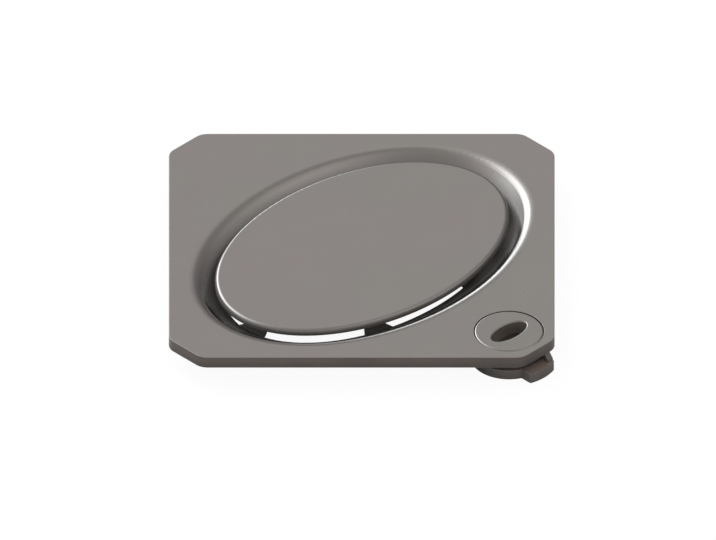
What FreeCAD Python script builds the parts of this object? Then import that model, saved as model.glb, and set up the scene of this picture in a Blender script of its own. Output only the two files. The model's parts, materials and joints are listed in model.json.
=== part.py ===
"""Square drain cover with an oval insert over a drawn funnel, and a quarter-turn corner lock.

Row frame: millimetres, +Z up, origin under the middle of the plate at the level of the
lock cam's underside. The lock stands at the +X -Y corner, and its tongue points out of
that corner when it is locked.
"""
import FreeCAD, Part
import os

import Sketcher
from FreeCAD import Placement, Rotation, Vector

UP = Vector(0, 0, 1)
DIAGONAL = 45.0
SQUARE_TO = 90.0
LEVEL_TOLERANCE = 1e-4

# Driving sizes: name, value in millimetres or degrees, meaning
DRIVING_SIZES = [
    ("plate_side", 115.0, "side of the square plate"),
    ("plate_thickness", 3.7, "thickness of the plate"),
    ("corner_cut", 9.6, "leg of the 45 degree cut at each corner"),
    ("corner_round", 5.0, "radius where a cut meets a side"),
    ("edge_round", 0.15, "radius of the plate's upper rim"),
    ("throat_end_margin", 9.1, "half the plate's side, less the long half axis of the oval drain throat"),
    ("throat_side_margin", 26.2, "half the plate's side, less the short half axis of the oval drain throat"),
    ("throat_height", 1.2, "upright wall at the foot of the funnel"),
    ("funnel_run", 9.3, "width of the funnel's slope seen from above"),
    ("funnel_depth", 6.5, "depth of the funnel's slope"),
    ("funnel_wall", 4.0, "funnel wall measured level"),
    ("shoulder_round", 5.5, "radius that leads from the plate into the funnel"),
    ("root_round", 2.0, "radius between the funnel and the plate's underside"),
    ("insert_overlap", 3.15, "reach of the oval insert past the throat"),
    ("insert_thickness", 1.8, "thickness of the oval insert"),
    ("insert_round", 1.3, "radius of the insert's upper rim"),
    ("side_bracket_angle", 65.5, "oval angle from the long axis to the side brackets"),
    ("bracket_thickness", 1.5, "thickness of the brackets under the insert"),
    ("bracket_reach", 6.5, "reach of a bracket inside the throat wall"),
    ("bracket_overlap", 1.6, "reach of a bracket under the funnel's foot"),
    ("bracket_foot_width", 12.4, "width of a bracket at its end under the funnel"),
    ("bracket_head_width", 5.0, "width of a bracket at its end under the insert"),
    ("bracket_bend", 0.8, "inside radius of a bracket's bend"),
    ("weld_gap", 0.05, "gap where a bracket is welded on"),
    ("lock_inset", 13.6, "lock axis from the two nearest sides of the plate"),
    ("head_radius", 10.45, "radius of the flush lock head"),
    ("head_thickness", 2.2, "thickness of the lock head"),
    ("head_gap", 0.05, "gap round the lock head"),
    ("head_round", 0.7, "radius of the lock head's rim"),
    ("sink_round", 0.1, "radius of the plate's rim round the lock head"),
    ("shank_radius", 8.4, "radius of the lock shank"),
    ("turning_play", 0.05, "running clearance of the lock, across and along its axis"),
    ("key_length", 13.1, "oval key slot, end to end"),
    ("key_width", 6.4, "oval key slot, side to side"),
    ("key_depth", 4.3, "depth of the key slot"),
    ("key_rim", 0.5, "radius of the key slot's rim"),
    ("bush_wall", 0.95, "wall of the bush in the plate"),
    ("bush_gap", 0.02, "fit of the bush in the plate"),
    ("flange_radius", 10.8, "radius of the bush's flange"),
    ("tongue_gap", 2.6, "space between the plate and the cam"),
    ("cam_radius", 11.5, "radius of the cam's disc"),
    ("cam_thickness", 3.2, "thickness of the cam and its tongue"),
    ("tongue_width", 10.1, "width of the tongue"),
    ("tongue_reach", 14.95, "reach of the tongue from the lock axis"),
    ("tongue_corner", 0.6, "radius of the tongue's two tip corners"),
    ("rib_thickness", 2.0, "thickness of the rib on the tongue"),
    ("rib_start", 11.2, "distance of the rib's inner end from the lock axis"),
    ("rib_crest", 12.1, "distance of the end of the rib's crest from the lock axis"),
    ("rib_toe", 0.6, "height of the rib at the tongue's tip"),
    ("rib_clearance", 0.3, "gap between the rib's crest and the plate"),
    ("spigot_side", 7.0, "side of the square spigot that drives the cam"),
    ("spigot_length", 1.1, "length of the square spigot"),
    ("spigot_play", 0.05, "gap between the spigot and the cam, per side"),
    ("screw_radius", 2.0, "radius of the cam screw"),
    ("screw_head_radius", 4.0, "radius of the screw's countersunk head"),
    ("screw_sink", 0.1, "depth of the screw's face inside the cam"),
    ("screw_play", 0.04, "gap round the screw"),
    ("thread_depth", 2.0, "depth of the screw in the lock barrel"),
    ("socket_radius", 1.44, "corner radius of the screw's hexagon socket"),
    ("socket_depth", 1.2, "depth of the screw's hexagon socket"),
]

# Levels, measured down from the top face of the cover
TOP_LEVEL = "Sizes.cam_thickness + Sizes.tongue_gap + Sizes.plate_thickness"
CAM_TOP = "Sizes.plate_thickness + Sizes.tongue_gap"
CAM_FOOT = f"{CAM_TOP} + Sizes.cam_thickness"
FUNNEL_FOOT = "Sizes.funnel_depth + Sizes.throat_height"
HEAD_SEAT = "Sizes.head_thickness + Sizes.turning_play"

# Sizes that follow from the driving ones
THROAT_HALF_LENGTH = "Sizes.plate_side / 2 - Sizes.throat_end_margin"
THROAT_HALF_WIDTH = "Sizes.plate_side / 2 - Sizes.throat_side_margin"
LOCK_OFFSET = "Sizes.plate_side / 2 - Sizes.lock_inset"
BUSH_BORE = "Sizes.shank_radius + Sizes.turning_play"
BUSH_OUTSIDE = f"{BUSH_BORE} + Sizes.bush_wall"
LOCK_HOLE = f"{BUSH_OUTSIDE} + Sizes.bush_gap"
LOCK_SINK = "Sizes.head_radius + Sizes.head_gap"
SCREW_HOLE = "Sizes.screw_radius + Sizes.screw_play"

doc = FreeCAD.newDocument("drain_cover")
sheet = doc.addObject("Spreadsheet::Sheet", "Sizes")
for row, (name, value, meaning) in enumerate(DRIVING_SIZES, start=1):
    sheet.set(f"A{row}", meaning)
    sheet.set(f"B{row}", str(value))
    sheet.setAlias(f"B{row}", name)
doc.recompute()

sub_parts = []


def size_of(expression):
    """Present value of an expression in the driving sizes."""
    return float(sheet.evalExpression(expression))


def new_body(label, turn=0.0):
    """Body whose own level zero is the top face of the cover, turned about +Z."""
    body = doc.addObject("PartDesign::Body", label)
    body.Label = label
    body.Placement = Placement(Vector(), Rotation(UP, turn))
    body.setExpression("Placement.Base.z", TOP_LEVEL)
    return body


def new_lock_body(label):
    """Body on the lock axis, with its own +X towards the corner of the plate."""
    body = new_body(label, -DIAGONAL)
    body.setExpression("Placement.Base.x", LOCK_OFFSET)
    body.setExpression("Placement.Base.y", f"-({LOCK_OFFSET})")
    return body


def new_sketch(body, name, depth="0", turn=0.0, role="XY_Plane"):
    """Sketch on one of the body's own origin planes, lowered by depth and turned in its plane."""
    sketch = body.newObject("Sketcher::SketchObject", name)
    plane = next(item for item in body.Origin.OriginFeatures if item.Role == role)
    sketch.AttachmentSupport = [(plane, "")]
    sketch.MapMode = "FlatFace"
    sketch.AttachmentOffset = Placement(Vector(), Rotation(UP, turn))
    sketch.setExpression("AttachmentOffset.Base.z", f"-({depth})")
    return sketch


def at_lock_axis(sketch):
    """Move a sketch of the plate to the lock axis."""
    sketch.setExpression("AttachmentOffset.Base.x", LOCK_OFFSET)
    sketch.setExpression("AttachmentOffset.Base.y", f"-({LOCK_OFFSET})")
    return sketch


def bind(sketch, kind, *where_and_size):
    """Add a dimension to a sketch and bind it to an expression."""
    *where, expression = where_and_size
    index = sketch.addConstraint(Sketcher.Constraint(kind, *where, size_of(expression)))
    sketch.setExpression(f"Constraints[{index}]", expression)


def draw_circle(sketch, radius):
    """Circle about the sketch's origin."""
    circle = sketch.addGeometry(Part.Circle(Vector(), UP, size_of(radius)))
    sketch.addConstraint(Sketcher.Constraint("Coincident", circle, 3, -1, 1))
    bind(sketch, "Radius", circle, radius)
    return sketch


def draw_oval(sketch, half_length, half_width):
    """Ellipse about the sketch's origin, with its long axis along the sketch's X."""
    oval = sketch.addGeometry(Part.Ellipse(Vector(), size_of(half_length), size_of(half_width)))
    sketch.exposeInternalGeometry(oval)
    long_axis, short_axis = oval + 1, oval + 2
    sketch.addConstraint(Sketcher.Constraint("Coincident", oval, 3, -1, 1))
    sketch.addConstraint(Sketcher.Constraint("Horizontal", long_axis))
    bind(sketch, "Distance", long_axis, f"2 * ({half_length})")
    bind(sketch, "Distance", short_axis, f"2 * ({half_width})")
    return sketch


def draw_throat_oval(sketch, reach="0"):
    """Oval that stands off from the drain throat by one reach all round."""
    return draw_oval(sketch, f"{THROAT_HALF_LENGTH} + {reach}", f"{THROAT_HALF_WIDTH} + {reach}")


def draw_polygon(sketch, points):
    """Closed run of straight lines through points given as pairs of expressions."""
    spots = [Vector(size_of(x), size_of(y), 0) for x, y in points]
    count = len(spots)
    lines = [
        sketch.addGeometry(Part.LineSegment(spots[i], spots[(i + 1) % count])) for i in range(count)
    ]
    for i in range(count):
        sketch.addConstraint(Sketcher.Constraint("Coincident", lines[i], 2, lines[(i + 1) % count], 1))
    for line, (x, y) in zip(lines, points):
        bind(sketch, "DistanceX", -1, 1, line, 1, x)
        bind(sketch, "DistanceY", -1, 1, line, 1, y)
    return sketch


def draw_rectangle(sketch, width, height):
    """Rectangle about the sketch's origin."""
    right = f"({width}) / 2"
    back = f"({height}) / 2"
    corners = [(f"-{right}", f"-{back}"), (right, f"-{back}"), (right, back), (f"-{right}", back)]
    return draw_polygon(sketch, corners)


def draw_tongue(sketch, width, reach):
    """Parallel-sided tab along the sketch's X, closed by an arc about the lock axis."""
    half = size_of(width) / 2
    radius = size_of(reach)
    tip = (radius ** 2 - half ** 2) ** 0.5
    points = [Vector(0, half, 0), Vector(0, -half, 0), Vector(tip, -half, 0), Vector(tip, half, 0)]
    root = sketch.addGeometry(Part.LineSegment(points[0], points[1]))
    near = sketch.addGeometry(Part.LineSegment(points[1], points[2]))
    arc = sketch.addGeometry(Part.Arc(points[2], Vector(radius, 0, 0), points[3]))
    far = sketch.addGeometry(Part.LineSegment(points[3], points[0]))
    for first, second in ((root, near), (near, arc), (arc, far), (far, root)):
        sketch.addConstraint(Sketcher.Constraint("Coincident", first, 2, second, 1))
    sketch.addConstraint(Sketcher.Constraint("Coincident", arc, 3, -1, 1))
    sketch.addConstraint(Sketcher.Constraint("PointOnObject", root, 1, -2))
    sketch.addConstraint(Sketcher.Constraint("Horizontal", near))
    sketch.addConstraint(Sketcher.Constraint("Horizontal", far))
    sketch.addConstraint(Sketcher.Constraint("Symmetric", root, 1, root, 2, -1))
    bind(sketch, "DistanceY", root, 2, root, 1, width)
    bind(sketch, "Radius", arc, reach)
    return sketch


def grow(body, sketch, name, length, downwards=True):
    """Pad a sketch, away from the top face unless told otherwise."""
    pad = body.newObject("PartDesign::Pad", name)
    pad.Profile = sketch
    pad.Reversed = downwards
    pad.setExpression("Length", length)
    doc.recompute()
    return pad


def cut(body, sketch, name, depth, along_normal=False):
    """Pocket a sketch against its normal unless told otherwise, and make sure that it removed something."""
    volume = body.Shape.Volume
    pocket = body.newObject("PartDesign::Pocket", name)
    pocket.Profile = sketch
    pocket.Reversed = along_normal
    pocket.setExpression("Length", depth)
    doc.recompute()
    if body.Shape.Volume >= volume:
        raise RuntimeError(f"{name} removed nothing")
    return pocket


def loft(body, kind, name, first, second):
    """Straight-sided loft between two sketches."""
    feature = body.newObject(f"PartDesign::{kind}", name)
    feature.Profile = first
    feature.Sections = [second]
    feature.Ruled = True
    doc.recompute()
    return feature


def blend(body, kind, name, test, size):
    """Fillet or chamfer every edge of the body that passes a test."""
    feature = body.newObject(f"PartDesign::{kind}", name)
    feature.Base = (feature.BaseFeature, edges_of_base(feature, test))
    feature.setExpression("Radius" if kind == "Fillet" else "Size", size)
    doc.recompute()
    return feature


def edges_of_base(feature, test):
    """Names of the edges of a feature's base that pass a test."""
    edges = feature.BaseFeature.Shape.Edges
    names = [f"Edge{i}" for i, edge in enumerate(edges, start=1) if test(edge)]
    if not names:
        raise RuntimeError(f"{feature.Label} found no edge")
    return names


def lies_at(level):
    """Test for an edge that lies wholly at one level of the body."""

    def test(edge):
        box = edge.BoundBox
        return abs(box.ZMin - level) < LEVEL_TOLERANCE and abs(box.ZMax - level) < LEVEL_TOLERANCE

    return test


def is_upright(edge):
    """Test for a straight edge along the body's Z."""
    box = edge.BoundBox
    return box.XLength < LEVEL_TOLERANCE and box.YLength < LEVEL_TOLERANCE and box.ZLength > LEVEL_TOLERANCE


def all_of(*tests):
    """Test that joins several tests."""
    return lambda edge: all(test(edge) for test in tests)


def is_closed(edge):
    """Test for an edge that runs back into itself."""
    return edge.isClosed()


def crosses_at(reach):
    """Test for a straight edge along the body's Y at one place on its X."""

    def test(edge):
        box = edge.BoundBox
        return abs(box.XMin - reach) < LEVEL_TOLERANCE and abs(box.XMax - reach) < LEVEL_TOLERANCE

    return test


def make_cover_plate():
    """Plate with cut corners, the drawn funnel in its middle and the stepped hole for the lock."""
    body = new_body("cover_plate")
    outline = draw_rectangle(new_sketch(body, "plate_outline"), "Sizes.plate_side", "Sizes.plate_side")
    grow(body, outline, "plate_blank", "Sizes.plate_thickness")
    blend(body, "Chamfer", "corner_cuts", is_upright, "Sizes.corner_cut")
    blend(body, "Fillet", "corner_rounds", is_upright, "Sizes.corner_round")

    # Outside of the funnel, from the plate's underside to its foot
    slope = "Sizes.funnel_run / Sizes.funnel_depth"
    root_reach = f"Sizes.funnel_run - Sizes.plate_thickness * {slope} + Sizes.funnel_wall"
    foot_reach = f"{root_reach} - ({FUNNEL_FOOT} - Sizes.plate_thickness) * {slope}"
    collar = []
    for name, depth, reach in (
        ("funnel_root", "Sizes.plate_thickness", root_reach),
        ("funnel_foot", FUNNEL_FOOT, foot_reach),
    ):
        collar.append(draw_throat_oval(new_sketch(body, name, depth, DIAGONAL), reach))
    loft(body, "AdditiveLoft", "funnel_outside", *collar)
    at_root = all_of(is_closed, lies_at(-size_of("Sizes.plate_thickness")))
    blend(body, "Fillet", "funnel_root_round", at_root, "Sizes.root_round")

    # Inside of the funnel: the slope, then the upright throat
    mouth = draw_throat_oval(new_sketch(body, "mouth", "0", DIAGONAL), "Sizes.funnel_run")
    throat = draw_throat_oval(new_sketch(body, "throat", "Sizes.funnel_depth", DIAGONAL))
    loft(body, "SubtractiveLoft", "funnel_slope", mouth, throat)
    drain = draw_throat_oval(new_sketch(body, "drain", "0", DIAGONAL))
    cut(body, drain, "drain_throat", FUNNEL_FOOT)
    at_mouth = all_of(is_closed, lies_at(0.0))
    blend(body, "Fillet", "funnel_shoulder", at_mouth, "Sizes.shoulder_round")

    # Stepped hole for the lock head and its bush
    sink = draw_circle(at_lock_axis(new_sketch(body, "lock_sink")), LOCK_SINK)
    cut(body, sink, "lock_counterbore", HEAD_SEAT)
    blend(body, "Fillet", "sink_rim", all_of(lies_at(0.0), is_about_lock), "Sizes.sink_round")
    hole = draw_circle(at_lock_axis(new_sketch(body, "lock_hole")), LOCK_HOLE)
    cut(body, hole, "lock_through_hole", "Sizes.plate_thickness")

    half_side = size_of("Sizes.plate_side") / 2
    blend(body, "Fillet", "rim_round", all_of(lies_at(0.0), on_outline(half_side)), "Sizes.edge_round")
    sub_parts.append(body)


def is_about_lock(edge):
    """Test for an edge of the plate that runs round the lock axis."""
    return abs(edge.BoundBox.Center.x - size_of(LOCK_OFFSET)) < LEVEL_TOLERANCE


def on_outline(half_side):
    """Test for an edge of the plate's outline: outside the circle that holds mouth and lock."""

    def test(edge):
        middle = edge.valueAt((edge.FirstParameter + edge.LastParameter) / 2)
        return max(abs(middle.x), abs(middle.y)) > half_side - size_of("Sizes.corner_cut")

    return test


def make_oval_insert():
    """Oval sheet, flush with the plate, that covers the drain throat."""
    body = new_body("oval_insert", DIAGONAL)
    outline = draw_throat_oval(new_sketch(body, "insert_outline"), "Sizes.insert_overlap")
    grow(body, outline, "insert_sheet", "Sizes.insert_thickness")
    blend(body, "Fillet", "insert_rim", lies_at(0.0), "Sizes.insert_round")
    sub_parts.append(body)


def make_insert_brackets():
    """Six bent brackets, welded under the funnel's foot, that carry the insert."""
    side = "Sizes.side_bracket_angle"
    angles = ("0", side, f"180 - {side}", "180", f"180 + {side}", f"360 - {side}")
    for number, angle in enumerate(angles, start=1):
        make_insert_bracket(number, angle)


def new_bracket_body(number, angle):
    """Body on the throat wall at one angle of the oval, with its own +X square out of the wall."""
    body = new_body(f"insert_bracket_{number}")
    along = f"({THROAT_HALF_LENGTH}) * cos(1 deg * ({angle}))"
    across = f"({THROAT_HALF_WIDTH}) * sin(1 deg * ({angle}))"
    facing = (
        f"atan2(({THROAT_HALF_LENGTH}) * sin(1 deg * ({angle})); "
        f"({THROAT_HALF_WIDTH}) * cos(1 deg * ({angle})))"
    )
    lean = f"cos({DIAGONAL} deg)"
    body.Placement = Placement(Vector(), Rotation(UP, 1.0))
    body.setExpression("Placement.Base.x", f"({along} - {across}) * {lean}")
    body.setExpression("Placement.Base.y", f"({along} + {across}) * {lean}")
    body.setExpression("Placement.Base.z", TOP_LEVEL)
    body.setExpression("Placement.Rotation.Angle", f"{facing} + {DIAGONAL} deg + 360 deg")
    return body


def make_insert_bracket(number, angle):
    """Tapered strip from under the funnel's foot inwards, bent up to the underside of the insert."""
    body = new_bracket_body(number, angle)
    head = "Sizes.insert_thickness + Sizes.weld_gap"
    seat = f"{FUNNEL_FOOT} + Sizes.weld_gap"
    foot = f"{seat} + Sizes.bracket_thickness"
    half_foot = "Sizes.bracket_foot_width / 2"
    half_head = "Sizes.bracket_head_width / 2"
    corners = [
        ("-Sizes.bracket_reach", f"-{half_head}"),
        ("Sizes.bracket_overlap", f"-{half_foot}"),
        ("Sizes.bracket_overlap", half_foot),
        ("-Sizes.bracket_reach", half_head),
    ]
    plan = draw_polygon(new_sketch(body, f"bracket_plan_{number}", head), corners)
    grow(body, plan, f"bracket_blank_{number}", f"{foot} - ({head})")

    # Everything above the strip and outside its upright end is cut away
    upright = "Sizes.bracket_thickness - Sizes.bracket_reach"
    corners = [
        (upright, f"-({seat})"),
        ("Sizes.bracket_overlap", f"-({seat})"),
        ("Sizes.bracket_overlap", f"-({head})"),
        (upright, f"-({head})"),
    ]
    side_view = draw_polygon(
        new_sketch(body, f"bracket_side_{number}", half_foot, role="XZ_Plane"), corners
    )
    cut(body, side_view, f"bracket_notch_{number}", "Sizes.bracket_foot_width", along_normal=True)
    inside = all_of(lies_at(-size_of(seat)), crosses_at(size_of(upright)))
    blend(body, "Fillet", f"bracket_inside_bend_{number}", inside, "Sizes.bracket_bend")
    outside = all_of(lies_at(-size_of(foot)), crosses_at(-size_of("Sizes.bracket_reach")))
    bend = "Sizes.bracket_bend + Sizes.bracket_thickness"
    blend(body, "Fillet", f"bracket_outside_bend_{number}", outside, bend)
    sub_parts.append(body)


def make_lock_barrel():
    """Flush head with the key slot, the shank that turns in the bush and the square spigot."""
    body = new_lock_body("lock_barrel")
    head = draw_circle(new_sketch(body, "head"), "Sizes.head_radius")
    grow(body, head, "head_disc", "Sizes.head_thickness")
    grow(body, draw_circle(new_sketch(body, "shank"), "Sizes.shank_radius"), "shank_rod", CAM_TOP)
    spigot = draw_rectangle(new_sketch(body, "spigot", CAM_TOP), "Sizes.spigot_side", "Sizes.spigot_side")
    grow(body, spigot, "spigot_block", "Sizes.spigot_length")
    blend(body, "Fillet", "head_rim", lies_at(0.0), "Sizes.head_round")
    slot = new_sketch(body, "key", turn=SQUARE_TO)
    cut(body, draw_oval(slot, "Sizes.key_length / 2", "Sizes.key_width / 2"), "key_slot", "Sizes.key_depth")
    inside = size_of("Sizes.key_length") / 2
    at_key = all_of(lies_at(0.0), lambda edge: edge.BoundBox.XMax < inside and edge.BoundBox.XMin > -inside)
    blend(body, "Fillet", "key_slot_rim", at_key, "Sizes.key_rim")
    end = f"{CAM_TOP} + Sizes.spigot_length"
    thread = draw_circle(new_sketch(body, "thread", end), SCREW_HOLE)
    cut(body, thread, "thread_hole", "Sizes.thread_depth", along_normal=True)
    sub_parts.append(body)


def make_lock_bush():
    """Flanged bearing bush between the lock shank and the plate."""
    body = new_lock_body("lock_bush")
    sleeve_top = f"{HEAD_SEAT} + Sizes.turning_play"
    sleeve = draw_circle(draw_circle(new_sketch(body, "sleeve", sleeve_top), BUSH_BORE), BUSH_OUTSIDE)
    grow(body, sleeve, "sleeve_tube", f"Sizes.plate_thickness - ({sleeve_top})")
    flange = new_sketch(body, "flange", "Sizes.plate_thickness")
    draw_circle(draw_circle(flange, BUSH_BORE), "Sizes.flange_radius")
    grow(body, flange, "flange_ring", "Sizes.tongue_gap - Sizes.turning_play")
    sub_parts.append(body)


def make_lock_cam():
    """Cam disc with the locking tongue, its rib and the seat of the cam screw."""
    body = new_lock_body("lock_cam")
    thickness = "Sizes.cam_thickness"
    grow(body, draw_circle(new_sketch(body, "disc", CAM_TOP), "Sizes.cam_radius"), "cam_disc", thickness)
    tab = draw_tongue(new_sketch(body, "tongue", CAM_TOP), "Sizes.tongue_width", "Sizes.tongue_reach")
    grow(body, tab, "tongue_tab", thickness)
    corner_reach = size_of("Sizes.cam_radius")
    at_tip = all_of(is_upright, lambda edge: edge.BoundBox.XMin > corner_reach)
    blend(body, "Fillet", "tongue_corners", at_tip, "Sizes.tongue_corner")

    # Rib on the leading side of the tongue, which rises to just under the plate
    crest = "-(Sizes.plate_thickness + Sizes.rib_clearance)"
    seat = f"-({CAM_TOP})"
    tip = "sqrt(Sizes.tongue_reach ^ 2 - (Sizes.tongue_width / 2) ^ 2) - Sizes.tongue_corner"
    profile = [
        ("Sizes.rib_start", seat),
        (tip, seat),
        (tip, f"{seat} + Sizes.rib_toe"),
        ("Sizes.rib_crest", crest),
        ("Sizes.rib_start", crest),
    ]
    rib = new_sketch(body, "rib", "Sizes.tongue_width / 2", role="XZ_Plane")
    draw_polygon(rib, profile)
    grow(body, rib, "tongue_rib", "Sizes.rib_thickness", downwards=False)

    # Square drive hole from above, countersunk screw seat from below
    drive_side = "Sizes.spigot_side + 2 * Sizes.spigot_play"
    drive = draw_rectangle(new_sketch(body, "drive", CAM_TOP), drive_side, drive_side)
    cut(body, drive, "drive_hole", "Sizes.spigot_length + Sizes.spigot_play")
    screw = draw_circle(new_sketch(body, "screw_way", CAM_TOP), SCREW_HOLE)
    cut(body, screw, "screw_way_hole", thickness)
    sink = body.newObject("PartDesign::SubtractiveCone", "screw_sink")
    plane = next(item for item in body.Origin.OriginFeatures if item.Role == "XY_Plane")
    sink.AttachmentSupport = [(plane, "")]
    sink.MapMode = "FlatFace"
    sink.setExpression("AttachmentOffset.Base.z", f"-({CAM_FOOT})")
    sink.setExpression("Radius1", "Sizes.screw_head_radius + Sizes.screw_sink + Sizes.screw_play")
    sink.setExpression("Radius2", SCREW_HOLE)
    sink.setExpression("Height", "Sizes.screw_head_radius - Sizes.screw_radius + Sizes.screw_sink")
    doc.recompute()
    sub_parts.append(body)


def make_cam_screw():
    """Countersunk screw that holds the cam on the lock barrel."""
    shank = doc.addObject("Part::Cylinder", "screw_shank")
    head = doc.addObject("Part::Cone", "screw_head")
    socket = doc.addObject("Part::Prism", "screw_socket")
    head_height = "Sizes.screw_head_radius - Sizes.screw_radius"
    shank.setExpression("Radius", "Sizes.screw_radius")
    reach = f"{CAM_FOOT} - ({CAM_TOP}) - Sizes.spigot_length + Sizes.thread_depth"
    shank.setExpression("Height", f"{reach} - 2 * Sizes.screw_sink")
    head.setExpression("Radius1", "Sizes.screw_head_radius")
    head.setExpression("Radius2", "Sizes.screw_radius")
    head.setExpression("Height", head_height)
    socket.Polygon = 6
    socket.setExpression("Circumradius", "Sizes.socket_radius")
    socket.setExpression("Height", "Sizes.socket_depth")
    for item in (shank, head, socket):
        item.setExpression("Placement.Base.x", LOCK_OFFSET)
        item.setExpression("Placement.Base.y", f"-({LOCK_OFFSET})")
        item.setExpression("Placement.Base.z", "Sizes.screw_sink")
    whole = doc.addObject("Part::Fuse", "screw_blank")
    whole.Base = shank
    whole.Tool = head
    screw = doc.addObject("Part::Cut", "cam_screw")
    screw.Label = "cam_screw"
    screw.Base = whole
    screw.Tool = socket
    doc.recompute()
    sub_parts.append(screw)


def check_and_write():
    """Stop on any failed object or bad solid, then write each sub-part to its own file."""
    doc.recompute()
    for item in doc.Objects:
        if "Invalid" in item.State or "Error" in item.State:
            raise RuntimeError(f"{item.Label} failed: {item.State}")
    for item in sub_parts:
        if item.Shape.isNull() or not item.Shape.isValid() or len(item.Shape.Solids) != 1:
            raise RuntimeError(f"{item.Label} is not one valid solid")
    os.makedirs("parts", exist_ok=True)
    for item in sub_parts:
        item.Shape.exportStep(f"parts/{item.Label}.step")
        box = item.Shape.BoundBox
        print(f"{item.Label}: {item.Shape.Volume:.1f} mm3, z {box.ZMin:.2f} to {box.ZMax:.2f}")


make_cover_plate()
make_oval_insert()
make_insert_brackets()
make_lock_barrel()
make_lock_bush()
make_lock_cam()
make_cam_screw()
check_and_write()
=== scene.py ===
"""Looks of a square steel drain cover with an oval insert and a corner lock.

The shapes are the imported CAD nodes. This script gives them their metals and plastic, and
sets the floor, the light and the camera. Lengths are in metres.
"""

import json
import math

import bpy
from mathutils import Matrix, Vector

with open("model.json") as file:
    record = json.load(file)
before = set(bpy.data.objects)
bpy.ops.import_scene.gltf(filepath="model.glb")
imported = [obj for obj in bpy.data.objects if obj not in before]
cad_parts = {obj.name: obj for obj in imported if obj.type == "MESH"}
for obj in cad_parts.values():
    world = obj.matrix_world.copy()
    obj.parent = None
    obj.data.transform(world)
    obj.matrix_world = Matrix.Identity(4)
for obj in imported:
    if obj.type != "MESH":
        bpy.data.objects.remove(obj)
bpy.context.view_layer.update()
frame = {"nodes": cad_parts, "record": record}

# The photograph's view: parallel, square to the cover's front side, from above
VIEW_ELEVATION = math.radians(35.46)
VIEW_WIDTH = 0.2134
VIEW_AIM = Vector((-0.00110, -0.00422, 0.00358))
VIEW_DISTANCE = 1.0

# Colours of the metals and the plastic, some with painted shade and light, and the share of each channel
# where steel looks cooler
SATIN_STEEL = (0.265, 0.237, 0.229)
LOCK_STEEL = (0.254, 0.231, 0.222)
# Lock's cut faces: darker and browner, as painted shade in the key slot
KEY_SLOT_CUT_AND_SHADE = (0.200, 0.166, 0.148)
# Cut sides: dull steel, its darkness partly painted shade on the plate's edges and walls
CUT_STEEL_AND_SHADE = (0.108, 0.086, 0.078)
# Insert's rim: painted shade on the lower half of its round and on its cut wall
RIM_CUT_AND_SHADE = (0.120, 0.112, 0.107)
# Brackets: painted lighter than the plate's steel, as light that does not reach under the insert
BRACKET_STEEL_AND_LIGHT = (0.420, 0.400, 0.385)
CAM_METAL = (0.122, 0.110, 0.104)
# Cam's upward faces: painted lighter and warmer than its sides, as light on them under the plate
CAM_TOP_LIT_PAINT = (0.300, 0.225, 0.205)
SCREW_STEEL = (0.240, 0.236, 0.230)
BUSH_PLASTIC = (0.030, 0.026, 0.025)
COOL_SHARE = (0.968, 1.010, 0.978)

# Grain: how fine its lines, clouds, drifts and specks are, per metre, and how deep it is
GRAIN_LINES = (260.0, 7000.0, 7000.0)
GRAIN_CLOUDS = 95.0
GRAIN_DRIFTS = 24.0
GRAIN_SPECKS = 2600.0
GRAIN_DEPTH = 0.00002
STIPPLE_SPECKS = 3200.0
STIPPLE_DEPTH = 0.00003

# Rubbed edges: patches per metre, how much of the bright colour shows, and how bright it is
RUB_PATCHES = 420.0
RUB_SHARE = 0.25
RUB_GAIN = 1.5
CUT_SWING = 0.12

# The finish that the plate, the insert and the lock share
SATIN = {"swing": 0.035, "gloss": (0.12, 0.17), "bump": 0.10}

# Upright measures past any real face, so that a whole piece counts as cut
ALL_CUT = (2.0, 3.0)

# The funnel's duller skin and painted shade: heights where it begins and is full, then what it changes
# there, dark being the painted shade
FUNNEL_SKIN_AND_SHADE = {"top": 0.0085, "foot": 0.0060, "rough": 0.20, "metal": 0.65, "dark": 0.30}

# Floor: paint where no ray of the camera or of the metal meets it, then what they see
FLOOR_SIZE = 60.0
FLOOR_LEVEL = -0.0002
FLOOR_PAINT = 0.8
FLOOR_SHADOW_PAINT = 0.075
FLOOR_GLOW = 0.94

# The shadow painted into the floor that metal sees round the cover, and how the floor's painted light falls
# off to the right
SHADE_EDGE = (0.054, 0.066)
SHADE_MIDDLE = (0.004, -0.001)
FLOOR_LIT_FROM_TO = (-0.060, 0.060)
FLOOR_LIT_LEVELS = (1.0, 0.5)

# Studio: the walls' light at the floor and overhead, then lights as azimuth, elevation, spread, level
WALL_LEVELS = (0.20, 0.63)
WINDOW_TINT = (0.93, 1.0, 1.04)
WINDOW_LIGHTS = [
    (-41.0, 43.0, 11.5, 3.4),
    (-30.0, 29.0, 6.5, 4.4),
    (-25.0, 18.0, 5.5, 4.4),
    (-12.5, 8.0, 6.0, 3.8),
]
FILL_LIGHTS = [
    (4.0, 39.0, 12.0, 0.5),
    (-75.0, 55.0, 14.0, 0.4),
    (87.0, 60.0, 14.0, 0.45),
    (75.0, 28.0, 16.0, 0.35),
    (100.0, 10.0, 20.0, 0.22),
    (140.0, 18.0, 22.0, 0.32),
    (180.0, 18.0, 22.0, 0.40),
    (-140.0, 18.0, 22.0, 0.28),
    (-95.0, 18.0, 22.0, 0.45),
]
WHITE = (1.0, 1.0, 1.0, 1.0)


def feed(tree, value, socket):
    """Links an output to a socket, or sets the socket to a plain value."""
    if isinstance(value, bpy.types.NodeSocket):
        tree.links.new(value, socket)
    else:
        socket.default_value = value


def math_of(tree, operation, first, second=0.0, clamp=False):
    """One step of arithmetic on two values."""
    node = tree.nodes.new("ShaderNodeMath")
    node.operation = operation
    node.use_clamp = clamp
    feed(tree, first, node.inputs[0])
    feed(tree, second, node.inputs[1])
    return node.outputs[0]


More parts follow.
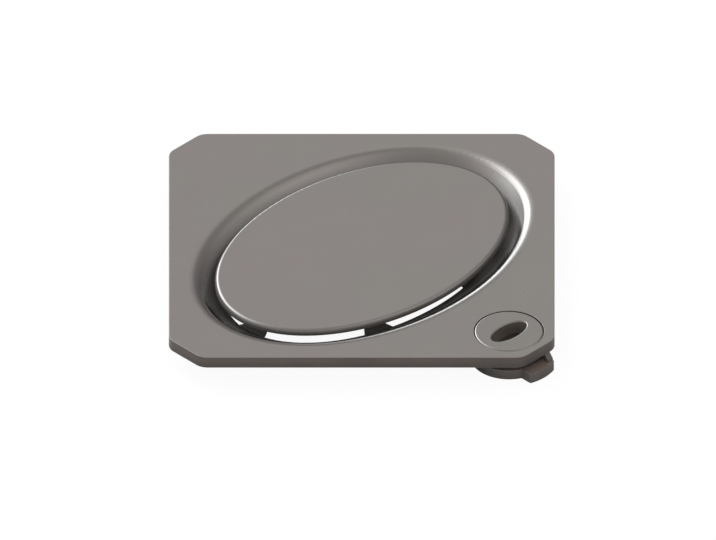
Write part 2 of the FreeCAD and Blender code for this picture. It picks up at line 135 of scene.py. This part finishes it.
def weighed(tree, first, second, share):
    """Sum of two values, the first with its share and the second with the rest."""
    heavy = math_of(tree, "MULTIPLY", first, share)
    light = math_of(tree, "MULTIPLY", second, 1.0 - share)
    return math_of(tree, "ADD", heavy, light)


def remap(tree, value, low, high, to_low, to_high, smooth=False):
    """Carries a value from one range over to another and holds it there."""
    node = tree.nodes.new("ShaderNodeMapRange")
    node.interpolation_type = "SMOOTHSTEP" if smooth else "LINEAR"
    feed(tree, value, node.inputs["Value"])
    feed(tree, low, node.inputs["From Min"])
    feed(tree, high, node.inputs["From Max"])
    feed(tree, to_low, node.inputs["To Min"])
    feed(tree, to_high, node.inputs["To Max"])
    return node.outputs["Result"]


def vector_math(tree, operation, first, second):
    """One step of arithmetic on two vectors; gives the node."""
    node = tree.nodes.new("ShaderNodeVectorMath")
    node.operation = operation
    feed(tree, first, node.inputs[0])
    feed(tree, second, node.inputs[1])
    return node


def axes_of(tree, vector):
    """The X, Y and Z outputs of a vector."""
    node = tree.nodes.new("ShaderNodeSeparateXYZ")
    tree.links.new(vector, node.inputs[0])
    return node.outputs


def coordinates(tree, kind):
    """One output of the texture coordinates, such as Object."""
    return tree.nodes.new("ShaderNodeTexCoord").outputs[kind]


def noise_of(tree, vector, scale, detail=2.0, roughness=0.5):
    """Smooth random value over the surface."""
    node = tree.nodes.new("ShaderNodeTexNoise")
    feed(tree, vector, node.inputs["Vector"])
    node.inputs["Scale"].default_value = scale
    node.inputs["Detail"].default_value = detail
    node.inputs["Roughness"].default_value = roughness
    return node.outputs["Fac"]


def mixed(tree, factor, first, second):
    """Colour between two colours."""
    node = tree.nodes.new("ShaderNodeMix")
    node.data_type = "RGBA"
    feed(tree, factor, node.inputs["Factor"])
    for colour, socket in ((first, "A"), (second, "B")):
        feed(tree, (*colour, 1.0) if isinstance(colour, tuple) else colour, node.inputs[socket])
    return node.outputs["Result"]


def between(tree, factor, first, second):
    """Value between two values."""
    node = tree.nodes.new("ShaderNodeMix")
    feed(tree, factor, node.inputs["Factor"])
    feed(tree, first, node.inputs["A"])
    feed(tree, second, node.inputs["B"])
    return node.outputs["Result"]


def scaled(colour, factor):
    """A colour made lighter or darker."""
    return tuple(channel * factor for channel in colour)


def swung(tree, factor, colour, swing):
    """A colour that runs from darker to lighter by its swing."""
    return mixed(tree, factor, scaled(colour, 1.0 - swing), scaled(colour, 1.0 + swing))


def new_group(name, inputs, outputs):
    """A shader node group with value inputs and outputs; gives the tree and its two ends."""
    tree = bpy.data.node_groups.new(name, "ShaderNodeTree")
    for label, value in inputs.items():
        socket = tree.interface.new_socket(label, in_out="INPUT", socket_type="NodeSocketFloat")
        socket.default_value = value
    for label in outputs:
        tree.interface.new_socket(label, in_out="OUTPUT", socket_type="NodeSocketFloat")
    return tree, tree.nodes.new("NodeGroupInput"), tree.nodes.new("NodeGroupOutput")


def make_grain_group():
    """Fine satin lines along X with slow drifts of tone, tint and gloss."""
    tree, _, result = new_group("satin_grain", {}, ("Tone", "Tint", "Gloss", "Height"))
    place = coordinates(tree, "Object")
    along_lines = vector_math(tree, "MULTIPLY", place, GRAIN_LINES).outputs[0]
    lines = noise_of(tree, along_lines, 1.0, 3.0, 0.6)
    cloud = noise_of(tree, place, GRAIN_CLOUDS, 3.0, 0.55)
    drift = noise_of(tree, place, GRAIN_DRIFTS)
    speck = noise_of(tree, place, GRAIN_SPECKS)
    slow = weighed(tree, cloud, drift, 0.55)
    fine = weighed(tree, lines, speck, 0.7)
    tone = weighed(tree, slow, fine, 0.6)
    feed(tree, remap(tree, tone, 0.3, 0.7, 0.0, 1.0), result.inputs["Tone"])
    feed(tree, remap(tree, drift, 0.38, 0.62, 0.0, 1.0, smooth=True), result.inputs["Tint"])
    feed(tree, remap(tree, cloud, 0.25, 0.75, 0.0, 1.0), result.inputs["Gloss"])
    feed(tree, fine, result.inputs["Height"])
    return tree


def make_rub_group():
    """Mask of edges that hands and feet rub bright."""
    tree, given, result = new_group("edge_rub", {"Width": 0.0004}, ("Rub",))
    bevel = tree.nodes.new("ShaderNodeBevel")
    bevel.samples = 6
    tree.links.new(given.outputs["Width"], bevel.inputs["Radius"])
    plain = tree.nodes.new("ShaderNodeNewGeometry")
    dot = vector_math(tree, "DOT_PRODUCT", bevel.outputs["Normal"], plain.outputs["Normal"])
    edge = remap(tree, dot.outputs["Value"], 0.995, 0.80, 0.0, 1.0)
    patches = noise_of(tree, coordinates(tree, "Object"), RUB_PATCHES, 3.0, 0.6)
    worn = remap(tree, patches, 0.35, 0.65, 0.35, 1.0)
    feed(tree, math_of(tree, "MULTIPLY", edge, worn, clamp=True), result.inputs["Rub"])
    return tree


def make_side_group():
    """Mask of upright faces, where a sheet or plate was cut and where darker colour is painted as shade."""
    tree, given, result = new_group("cut_side_and_shade", {"Upright": 0.30, "Leaning": 0.60}, ("Side",))
    level = math_of(tree, "ABSOLUTE", axes_of(tree, coordinates(tree, "Normal"))["Z"])
    upright, leaning = given.outputs["Upright"], given.outputs["Leaning"]
    feed(tree, remap(tree, level, upright, leaning, 1.0, 0.0, smooth=True), result.inputs["Side"])
    return tree


GRAIN = make_grain_group()
RUB = make_rub_group()
SIDE = make_side_group()


def placed(tree, group):
    """A node that uses a group in a material."""
    node = tree.nodes.new("ShaderNodeGroup")
    node.node_tree = group
    return node


def rub_mask(tree, width):
    """The mask of rubbed edges of one width."""
    rub = placed(tree, RUB)
    rub.inputs["Width"].default_value = width
    return rub.outputs["Rub"]


def new_material(name):
    """A material with its tree and its one shader."""
    material = bpy.data.materials.new(name)
    material.use_nodes = True
    return material, material.node_tree, material.node_tree.nodes["Principled BSDF"]


def raise_surface(tree, shader, height, strength, depth):
    """Feeds a height through a bump to the shader's normal."""
    raised = tree.nodes.new("ShaderNodeBump")
    raised.inputs["Strength"].default_value = strength
    raised.inputs["Distance"].default_value = depth
    feed(tree, height, raised.inputs["Height"])
    feed(tree, raised.outputs["Normal"], shader.inputs["Normal"])


def make_steel(name, colour, cut_and_shade_colour, swing, gloss, cut_gloss, bump, rub_width,
               lean=(0.30, 0.60), face_metal=1.0, cut_metal=0.5, hollow=None):
    """Satin steel: toned grain, dull cut sides that also carry painted shade, a duller hollow with painted
    shade, and rubbed edges.
    """
    material, tree, shader = new_material(name)
    grain = placed(tree, GRAIN).outputs
    side = placed(tree, SIDE)
    side.inputs["Upright"].default_value, side.inputs["Leaning"].default_value = lean
    cut_and_shade_mask = side.outputs["Side"]
    cool_colour = tuple(channel * share for channel, share in zip(colour, COOL_SHARE))
    warm = swung(tree, grain["Tone"], colour, swing)
    cool = swung(tree, grain["Tone"], cool_colour, swing)
    face = mixed(tree, grain["Tint"], warm, cool)
    # Upright and leaning faces take the cut colour: dull cut steel, darker also as painted shade
    body = mixed(tree, cut_and_shade_mask, face, swung(tree, grain["Gloss"], cut_and_shade_colour, CUT_SWING))
    metal = remap(tree, cut_and_shade_mask, 0.0, 1.0, face_metal, cut_metal)
    satin = remap(tree, grain["Gloss"], 0.0, 1.0, *gloss)
    if hollow:
        height = axes_of(tree, coordinates(tree, "Object"))["Z"]
        depth = remap(tree, height, hollow["top"], hollow["foot"], 0.0, 1.0, smooth=True)
        # Painted shade: the colour darkens down the funnel by its dark share
        body = mixed(tree, math_of(tree, "MULTIPLY", depth, hollow["dark"]), body, (0.0, 0.0, 0.0))
        metal = math_of(tree, "MULTIPLY", metal, remap(tree, depth, 0.0, 1.0, 1.0, hollow["metal"]))
        satin = math_of(tree, "ADD", satin, math_of(tree, "MULTIPLY", depth, hollow["rough"]))
    bright = math_of(tree, "MULTIPLY", rub_mask(tree, rub_width), RUB_SHARE)
    rough = remap(tree, grain["Tone"], 0.0, 1.0, *cut_gloss)
    feed(tree, mixed(tree, bright, body, scaled(colour, RUB_GAIN)), shader.inputs["Base Color"])
    feed(tree, metal, shader.inputs["Metallic"])
    feed(tree, between(tree, cut_and_shade_mask, satin, rough), shader.inputs["Roughness"])
    raise_surface(tree, shader, grain["Height"], bump, GRAIN_DEPTH)
    return material


def make_plastic(name, colour, rub_width):
    """Black moulded plastic with a faint stipple and edges rubbed grey."""
    material, tree, shader = new_material(name)
    grain = placed(tree, GRAIN).outputs
    body = mixed(tree, grain["Tone"], scaled(colour, 0.8), scaled(colour, 1.3))
    rubbed = math_of(tree, "MULTIPLY", rub_mask(tree, rub_width), 0.5)
    feed(tree, mixed(tree, rubbed, body, scaled(colour, 3.0)), shader.inputs["Base Color"])
    feed(tree, remap(tree, grain["Gloss"], 0.0, 1.0, 0.42, 0.58), shader.inputs["Roughness"])
    stipple = noise_of(tree, coordinates(tree, "Object"), STIPPLE_SPECKS)
    raise_surface(tree, shader, stipple, 0.3, STIPPLE_DEPTH)
    return material


def dress(slot_name, material):
    """Gives a material to the CAD nodes that the record puts in that slot."""
    for row in frame["record"]["subparts"]:
        if row["material_slot"] == slot_name:
            for slot in frame["nodes"][row["node"]].material_slots:
                slot.material = material


def dress_cover():
    """Plate with its funnel, the insert, and the brackets that carry it."""
    dress("plate_steel", make_steel(
        "plate_steel", SATIN_STEEL, CUT_STEEL_AND_SHADE, **SATIN, cut_gloss=(0.38, 0.50), rub_width=0.0004,
        lean=(0.10, 0.30), hollow=FUNNEL_SKIN_AND_SHADE))
    # The insert's wide lean paints shade on the lower half of its rounded rim
    dress("insert_steel", make_steel(
        "insert_steel", SATIN_STEEL, RIM_CUT_AND_SHADE, **SATIN, cut_gloss=(0.30, 0.40), rub_width=0.0004,
        lean=(0.40, 0.95), cut_metal=0.4))
    dress("bracket_steel", make_steel(
        "bracket_steel", BRACKET_STEEL_AND_LIGHT, scaled(BRACKET_STEEL_AND_LIGHT, 0.9), swing=0.08, gloss=(0.32, 0.42),
        cut_gloss=(0.40, 0.50), bump=0.2, rub_width=0.0003, lean=ALL_CUT, cut_metal=0.3))


def dress_lock():
    """Barrel, bush, cam and screw of the corner lock."""
    dress("lock_steel", make_steel(
        "lock_steel", LOCK_STEEL, KEY_SLOT_CUT_AND_SHADE, **SATIN, cut_gloss=(0.30, 0.40), rub_width=0.0003,
        lean=(0.35, 0.75), cut_metal=0.4))
    # The cam's flat tops take the painted light, its sides the darker colour
    dress("cam_metal", make_steel(
        "cam_metal", CAM_TOP_LIT_PAINT, CAM_METAL, swing=0.10, gloss=(0.40, 0.50), cut_gloss=(0.40, 0.50),
        bump=0.5, rub_width=0.0005, lean=(0.90, 0.99), face_metal=0.4, cut_metal=0.4))
    dress("screw_steel", make_steel(
        "screw_steel", SCREW_STEEL, scaled(SCREW_STEEL, 0.7), swing=0.05, gloss=(0.22, 0.30),
        cut_gloss=(0.25, 0.35), bump=0.1, rub_width=0.0003))
    dress("bush_plastic", make_plastic("bush_plastic", BUSH_PLASTIC, rub_width=0.0003))


def matt_paint(tree, grey):
    """A matt shader of one grey."""
    node = tree.nodes.new("ShaderNodeBsdfDiffuse")
    node.inputs["Color"].default_value = (grey, grey, grey, 1.0)
    return node.outputs[0]


def both_of(tree, first, second):
    """Two shaders, one added to the other."""
    node = tree.nodes.new("ShaderNodeAddShader")
    tree.links.new(first, node.inputs[0])
    tree.links.new(second, node.inputs[1])
    return node.outputs[0]


def chosen(tree, factor, first, second):
    """The first shader, or the second where the factor is 1."""
    node = tree.nodes.new("ShaderNodeMixShader")
    tree.links.new(factor, node.inputs[0])
    tree.links.new(first, node.inputs[1])
    tree.links.new(second, node.inputs[2])
    return node.outputs[0]


def floor_in_metal(tree, glossy_ray):
    """How far metal sees the white floor: not in the shadow painted round the cover, and painted dimmer to
    the right.
    """
    place = axes_of(tree, coordinates(tree, "Object"))
    across, along = (
        math_of(tree, "ABSOLUTE", math_of(tree, "SUBTRACT", place[axis], middle))
        for axis, middle in zip("XY", SHADE_MIDDLE)
    )
    outward = math_of(tree, "MAXIMUM", across, along)
    # Painted shadow: the glow that metal sees fades out round the cover and dims to the right
    open_floor = remap(tree, outward, *SHADE_EDGE, 0.0, 1.0, smooth=True)
    lit = remap(tree, place["X"], *FLOOR_LIT_FROM_TO, *FLOOR_LIT_LEVELS)
    return math_of(tree, "MULTIPLY", glossy_ray, math_of(tree, "MULTIPLY", open_floor, lit))


def lay_floor():
    """White floor with the cover's soft shadow on it, clear when it is looked at from below."""
    bpy.ops.mesh.primitive_plane_add(size=FLOOR_SIZE, location=(0.0, 0.0, FLOOR_LEVEL))
    floor = bpy.context.object
    floor.name = "studio_floor"
    material = bpy.data.materials.new("floor_paint")
    material.use_nodes = True
    tree = material.node_tree
    tree.nodes.clear()
    path = tree.nodes.new("ShaderNodeLightPath").outputs
    seen = math_of(tree, "MAXIMUM", path["Is Camera Ray"], path["Is Transmission Ray"])
    seen = math_of(tree, "MAXIMUM", seen, floor_in_metal(tree, path["Is Glossy Ray"]))
    glow = tree.nodes.new("ShaderNodeEmission")
    glow.inputs["Strength"].default_value = FLOOR_GLOW
    white = both_of(tree, matt_paint(tree, FLOOR_SHADOW_PAINT), glow.outputs[0])
    top = chosen(tree, seen, matt_paint(tree, FLOOR_PAINT), white)
    clear = tree.nodes.new("ShaderNodeBsdfTransparent").outputs[0]
    from_below = tree.nodes.new("ShaderNodeNewGeometry").outputs["Backfacing"]
    out = tree.nodes.new("ShaderNodeOutputMaterial")
    tree.links.new(chosen(tree, from_below, top, clear), out.inputs["Surface"])
    floor.data.materials.append(material)


def soft_light(tree, way, azimuth, elevation, spread, level):
    """Round soft light; azimuth is counted from the back wall to the right, all angles in degrees."""
    turn, rise = math.radians(azimuth), math.radians(elevation)
    flat = math.cos(rise)
    towards = (math.sin(turn) * flat, math.cos(turn) * flat, math.sin(rise))
    near = vector_math(tree, "DOT_PRODUCT", way, towards).outputs["Value"]
    facing = math_of(tree, "MAXIMUM", near, 0.0)
    return math_of(tree, "MULTIPLY", math_of(tree, "POWER", facing, math.radians(spread) ** -2), level)


def lit_by(tree, way, lights, start):
    """A starting level with soft lights added to it."""
    level = start
    for light in lights:
        level = math_of(tree, "ADD", level, soft_light(tree, way, *light))
    return level


def background(tree, colour, strength):
    """A background shader of one colour."""
    node = tree.nodes.new("ShaderNodeBackground")
    node.inputs["Color"].default_value = colour
    feed(tree, strength, node.inputs["Strength"])
    return node.outputs[0]


def set_studio():
    """Grey walls that lighten upwards, soft fills, a slanting window at the back left, a white backdrop."""
    world = bpy.data.worlds.new("studio_walls")
    bpy.context.scene.world = world
    world.use_nodes = True
    tree = world.node_tree
    tree.nodes.clear()
    way = coordinates(tree, "Generated")
    wall_level = remap(tree, axes_of(tree, way)["Z"], 0.0, 1.0, *WALL_LEVELS)
    walls = background(tree, WHITE, lit_by(tree, way, FILL_LIGHTS, wall_level))
    window = background(tree, (*WINDOW_TINT, 1.0), lit_by(tree, way, WINDOW_LIGHTS, 0.0))
    backdrop = background(tree, WHITE, 1.0)
    camera_ray = tree.nodes.new("ShaderNodeLightPath").outputs["Is Camera Ray"]
    shown = chosen(tree, camera_ray, both_of(tree, walls, window), backdrop)
    out = tree.nodes.new("ShaderNodeOutputWorld")
    tree.links.new(shown, out.inputs["Surface"])


def set_camera():
    """Parallel camera at the photograph's view."""
    data = bpy.data.cameras.new("camera")
    data.type = "ORTHO"
    data.ortho_scale = VIEW_WIDTH
    camera = bpy.data.objects.new("camera", data)
    bpy.context.collection.objects.link(camera)
    back = Vector((0.0, -math.cos(VIEW_ELEVATION), math.sin(VIEW_ELEVATION)))
    camera.location = VIEW_AIM + back * VIEW_DISTANCE
    camera.rotation_euler = back.to_track_quat("Z", "Y").to_euler()
    bpy.context.scene.camera = camera


dress_cover()
dress_lock()
lay_floor()
set_studio()
set_camera()
bpy.context.scene.view_settings.view_transform = "Standard"
